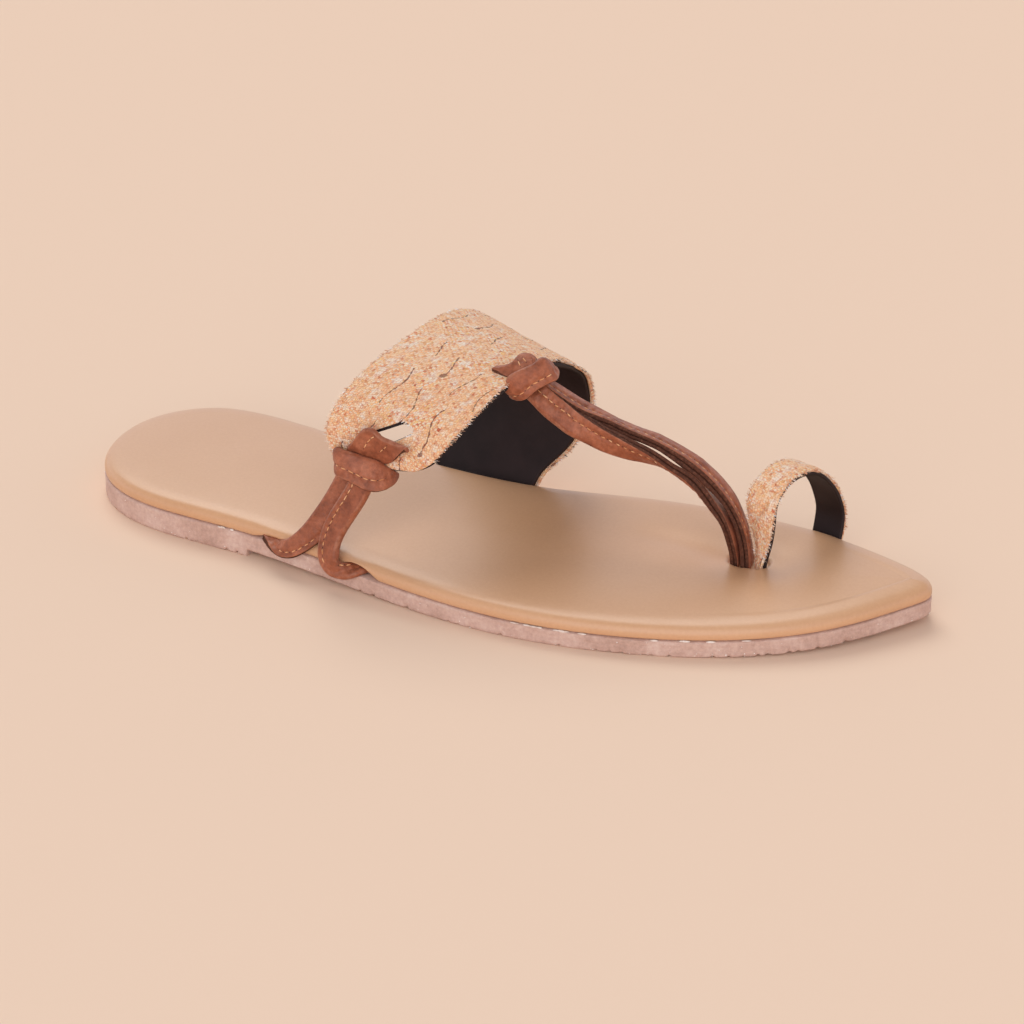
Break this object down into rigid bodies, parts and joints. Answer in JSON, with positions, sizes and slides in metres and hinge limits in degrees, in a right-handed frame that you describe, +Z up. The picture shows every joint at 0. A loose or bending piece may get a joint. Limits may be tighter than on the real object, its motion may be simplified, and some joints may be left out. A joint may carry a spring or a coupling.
{
  "type": "toe ring chappal",
  "caption": "Flat open sandal with a wide cloth instep band, a cloth toe ring, a leather toe thong and a knotted leather side strap, on a cushioned footbed and thin outsole, right foot.",
  "frame": {"origin": "on the floor under the middle of the shoe's box, seen from above", "axes": "+X along the shoe from heel to toe, +Y towards the big toe side, +Z up"},
  "size_m": [0.247, 0.0864, 0.0631],
  "materials": {
    "outsole": "moulded rubber, dull satin",
    "footbed": "smooth tan sheet leather over foam, satin sheen",
    "upper_band": "coarse cream and orange handloom cloth, raw edge, dark lining",
    "upper_toe_ring": "coarse cream and orange handloom cloth, raw edge, dark lining",
    "upper_side_strap": "reddish brown pull-up leather with yellow stitching",
    "upper_toe_thong": "reddish brown pull-up leather with yellow stitching"
  },
  "bodies": {
    "root": {"outsole": "outsole", "footbed": "footbed", "upper_band": "upper_band", "upper_toe_ring": "upper_toe_ring", "upper_side_strap": "upper_side_strap", "upper_toe_thong": "upper_toe_thong"}
  },
  "joints": []
}
